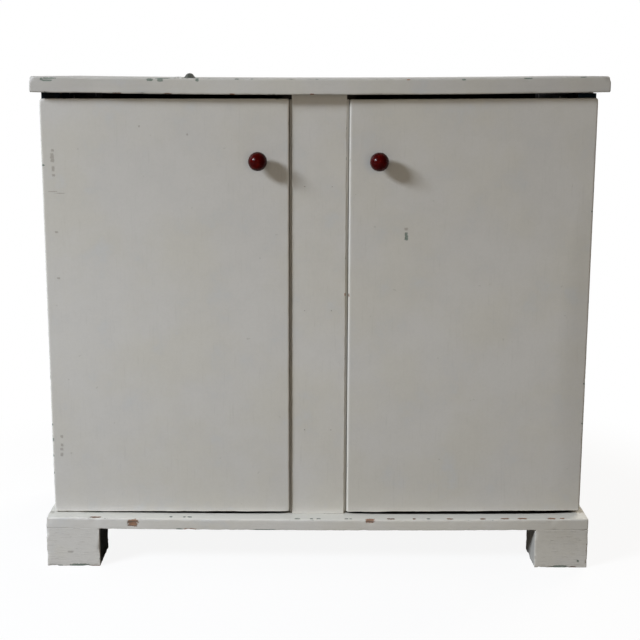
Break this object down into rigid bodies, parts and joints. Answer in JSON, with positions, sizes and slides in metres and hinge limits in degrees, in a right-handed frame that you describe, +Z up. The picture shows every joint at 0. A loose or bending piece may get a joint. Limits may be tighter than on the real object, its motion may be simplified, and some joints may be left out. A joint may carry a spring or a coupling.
{
  "type": "two-door cupboard",
  "caption": "Low painted wooden cupboard with a sagging top board, slab doors on butt hinges either side of a fixed centre stile, ball knobs, shelves and block feet.",
  "frame": {"origin": "on the floor, under the middle of the cupboard's bounding box", "axes": "+Z up; the front with the doors faces -Y; +X to the right as seen from the front"},
  "size_m": [0.932, 0.443, 0.8285],
  "materials": {
    "painted_wood": "worn satin off-white paint",
    "bare_pine": "bare, dull",
    "plywood": "bare, dull",
    "beech": "bare, dull",
    "knob_lacquer": "glossy dark oxblood lacquer",
    "hinge_steel": "dull, lightly tarnished",
    "screw_steel": "dull",
    "plated_steel": "zinc plated",
    "magnet": "dark ferrite",
    "catch_plastic": "brown, dull"
  },
  "bodies": {
    "carcass": {"back_left_foot": "painted_wood", "back_panel": "plywood", "back_panel_pins": "screw_steel", "back_right_foot": "painted_wood", "base_board": "painted_wood", "batten_screws": "screw_steel", "carcass_screws": "screw_steel", "catch_screws": "screw_steel", "centre_partition": "bare_pine", "centre_post": "bare_pine", "centre_stile": "painted_wood", "fixed_hinge_screws": "screw_steel", "foot_screws": "screw_steel", "frame_dowels": "beech", "front_left_foot": "painted_wood", "front_right_foot": "painted_wood", "hinge_pins": "screw_steel", "left_catch_case": "catch_plastic", "left_catch_magnet": "magnet", "left_catch_poles": "plated_steel", "left_hanging_stile": "painted_wood", "left_inner_shelf_cleat": "bare_pine", "left_inner_top_batten": "bare_pine", "left_lower_hinge_fixed_leaf": "hinge_steel", "left_outer_shelf_cleat": "bare_pine", "left_outer_top_batten": "bare_pine", "left_shelf": "bare_pine", "left_side": "bare_pine", "left_upper_hinge_fixed_leaf": "hinge_steel", "right_catch_case": "catch_plastic", "right_catch_magnet": "magnet", "right_catch_poles": "plated_steel", "right_hanging_stile": "painted_wood", "right_inner_shelf_cleat": "bare_pine", "right_inner_top_batten": "bare_pine", "right_lower_hinge_fixed_leaf": "hinge_steel", "right_outer_shelf_cleat": "bare_pine", "right_outer_top_batten": "bare_pine", "right_shelf": "bare_pine", "right_side": "bare_pine", "right_upper_hinge_fixed_leaf": "hinge_steel", "stile_pins": "screw_steel", "top_board": "painted_wood"},
    "left_door": {"left_door_hinge_screws": "screw_steel", "left_door_panel": "painted_wood", "left_knob": "knob_lacquer", "left_knob_screw": "screw_steel", "left_lower_hinge_door_leaf": "hinge_steel", "left_strike_plate": "plated_steel", "left_strike_screws": "screw_steel", "left_upper_hinge_door_leaf": "hinge_steel"},
    "right_door": {"right_door_hinge_screws": "screw_steel", "right_door_panel": "painted_wood", "right_knob": "knob_lacquer", "right_knob_screw": "screw_steel", "right_lower_hinge_door_leaf": "hinge_steel", "right_strike_plate": "plated_steel", "right_strike_screws": "screw_steel", "right_upper_hinge_door_leaf": "hinge_steel"}
  },
  "joints": [
    {"name": "left_door_hinge", "type": "hinge", "parent": "carcass", "child": "left_door", "pos_m": [-0.4537, -0.164, 0.4415], "axis": [0, 0, -1], "range_deg": [0, 180]},
    {"name": "right_door_hinge", "type": "hinge", "parent": "carcass", "child": "right_door", "pos_m": [0.4537, -0.164, 0.4415], "axis": [0, 0, 1], "range_deg": [0, 180]}
  ]
}
